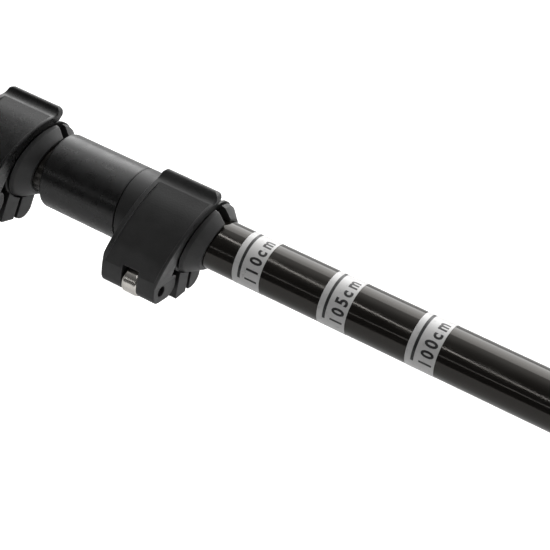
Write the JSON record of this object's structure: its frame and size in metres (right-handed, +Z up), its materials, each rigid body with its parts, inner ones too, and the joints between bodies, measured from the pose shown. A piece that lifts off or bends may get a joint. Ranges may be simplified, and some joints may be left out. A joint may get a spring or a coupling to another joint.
{
  "type": "telescopic boom pole",
  "caption": "Telescopic boom pole of nested tubes with a foam grip, flip-lock clamps and a threaded microphone stud with a lock ring.",
  "frame": {"origin": "centre of the flat face of the butt cap, on the pole's axis", "axes": "+X along the pole from the butt to the microphone stud, +Z up, the pole lying level as it is held, with the levers' outer faces towards -Y and +Z"},
  "size_m": [0.8766, 0.0376, 0.035],
  "materials": {
    "pole_tube": "gloss black coating",
    "sleeve_plastic": "fine matte",
    "clamp_plastic": "fine grained",
    "bush_plastic": "satin",
    "steel": "turned",
    "nickel": "nickel plated",
    "guide_plastic": "natural, satin",
    "foam": "closed-cell foam",
    "rubber": "matte",
    "anodised": "black anodised, bead blasted",
    "ring_metal": "clear anodised, fluted"
  },
  "bodies": {
    "handle": {"outer_tube": "pole_tube", "foam_grip": "foam", "grip_ring": "anodised", "butt_plug": "guide_plastic", "butt_cap": "rubber", "ferrule_a": "sleeve_plastic", "collar_a": "clamp_plastic", "split_bush_a": "bush_plastic", "wear_plate_a": "steel", "eye_bolt_a": "nickel"},
    "lever_a": {"lever_a": "clamp_plastic", "hinge_pin_a": "steel"},
    "washer_a": {"nut_washer_a": "steel"},
    "nut_a": {"tension_nut_a": "nickel"},
    "middle_glide": {"middle_glide": "guide_plastic"},
    "middle": {"middle_tube": "pole_tube", "ferrule_b": "sleeve_plastic", "collar_b": "clamp_plastic", "split_bush_b": "bush_plastic", "wear_plate_b": "steel", "eye_bolt_b": "nickel"},
    "lever_b": {"lever_b": "clamp_plastic", "hinge_pin_b": "steel"},
    "washer_b": {"nut_washer_b": "steel"},
    "nut_b": {"tension_nut_b": "nickel"},
    "inner_glide": {"inner_glide": "guide_plastic"},
    "inner": {"inner_tube": "pole_tube", "tip_head": "anodised", "mic_stud": "steel"},
    "lock_pad": {"face_pad": "rubber"},
    "lock_ring": {"lock_ring": "ring_metal"}
  },
  "joints": [
    {"name": "lever_a_open", "type": "hinge", "parent": "handle", "child": "lever_a", "pos_m": [0.50455, -0.01907, -0.00254], "axis": [1, 0, 0], "range_deg": [0, 150]},
    {"name": "washer_a_slide", "type": "slide", "parent": "handle", "child": "washer_a", "axis": [0, 0.7986, -0.6018], "range_m": [0, 0.0014]},
    {"name": "nut_a_turn", "type": "hinge", "parent": "washer_a", "child": "nut_a", "pos_m": [0.5051, -0.00309, -0.01457], "axis": [0, 0.7986, -0.6018], "range_deg": [0, 720.01]},
    {"name": "middle_slide", "type": "slide", "parent": "handle", "child": "middle_glide", "axis": [1, 0, 0], "range_m": [0, 0.3558]},
    {"name": "middle_turn", "type": "hinge", "parent": "middle_glide", "child": "middle", "pos_m": [0.52, 0, 0], "axis": [1, 0, 0], "continuous": true},
    {"name": "lever_b_open", "type": "hinge", "parent": "middle", "child": "lever_b", "pos_m": [0.55785, -0.01634, -0.00712], "axis": [1, 0, 0], "range_deg": [0, 150]},
    {"name": "washer_b_slide", "type": "slide", "parent": "middle", "child": "washer_b", "axis": [0, 0.9336, -0.3584], "range_m": [0, 0.0014]},
    {"name": "nut_b_turn", "type": "hinge", "parent": "washer_b", "child": "nut_b", "pos_m": [0.5584, 0.00047, -0.01357], "axis": [0, 0.9336, -0.3584], "range_deg": [0, 720.01]},
    {"name": "inner_slide", "type": "slide", "parent": "middle", "child": "inner_glide", "axis": [1, 0, 0], "range_m": [-0.2573, 0.1177]},
    {"name": "inner_turn", "type": "hinge", "parent": "inner_glide", "child": "inner", "pos_m": [0.5733, 0, 0], "axis": [1, 0, 0], "continuous": true},
    {"name": "lock_pad_slide", "type": "slide", "parent": "inner", "child": "lock_pad", "axis": [1, 0, 0], "range_m": [0, 0.00397]},
    {"name": "lock_ring_turn", "type": "hinge", "parent": "lock_pad", "child": "lock_ring", "pos_m": [0.8646, 0, 0], "axis": [1, 0, 0], "range_deg": [0, 900.01]}
  ],
  "couplings": [
    {"joint": "nut_a_turn", "follows": "washer_a_slide", "rad_per_m": 8976},
    {"joint": "nut_b_turn", "follows": "washer_b_slide", "rad_per_m": 8976},
    {"joint": "lock_ring_turn", "follows": "lock_pad_slide", "rad_per_m": 3957.9}
  ]
}
